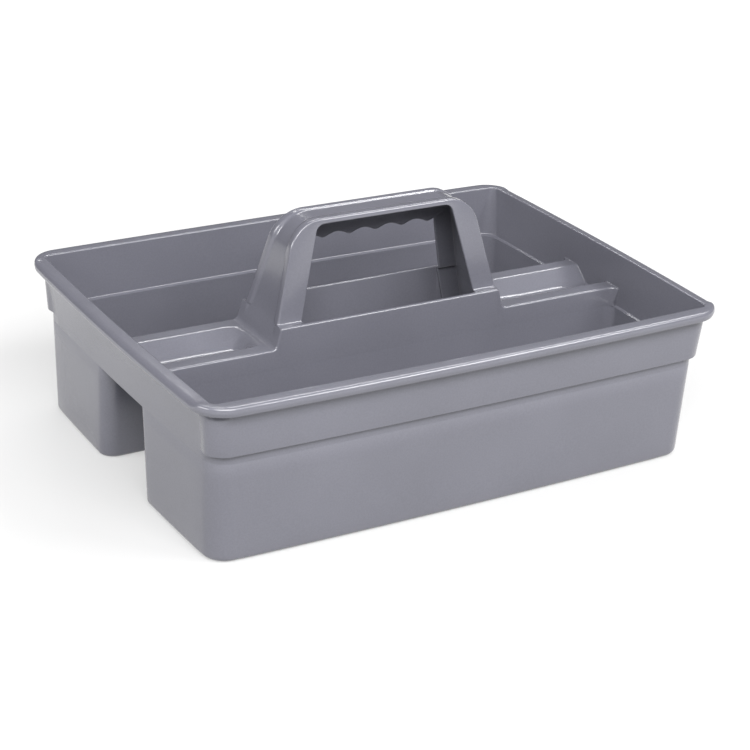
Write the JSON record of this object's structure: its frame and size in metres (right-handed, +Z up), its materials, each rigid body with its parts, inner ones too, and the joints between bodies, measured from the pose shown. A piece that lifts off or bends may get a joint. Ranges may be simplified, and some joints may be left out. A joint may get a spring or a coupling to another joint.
{
  "type": "cleaning caddy",
  "caption": "Open carry caddy with a deep bin on each side of a raised centre, shallow centre trays, a tunnel underneath and an arched hand grip.",
  "frame": {"origin": "centre of the footprint, on the surface that the caddy stands on", "axes": "+X along the length and the handle's grip, +Y to the side with the finger grip, +Z up"},
  "size_m": [0.4064, 0.2928, 0.172],
  "materials": {
    "grey_plastic": "satin moulded"
  },
  "bodies": {
    "root": {"front_bin": "grey_plastic", "rear_bin": "grey_plastic", "front_wall": "grey_plastic", "rear_wall": "grey_plastic", "left_end_wall": "grey_plastic", "right_end_wall": "grey_plastic", "front_divider": "grey_plastic", "rear_divider": "grey_plastic", "left_tray": "grey_plastic", "right_tray": "grey_plastic", "handle_left_leg": "grey_plastic", "handle_right_leg": "grey_plastic", "handle_grip": "grey_plastic"}
  },
  "joints": []
}
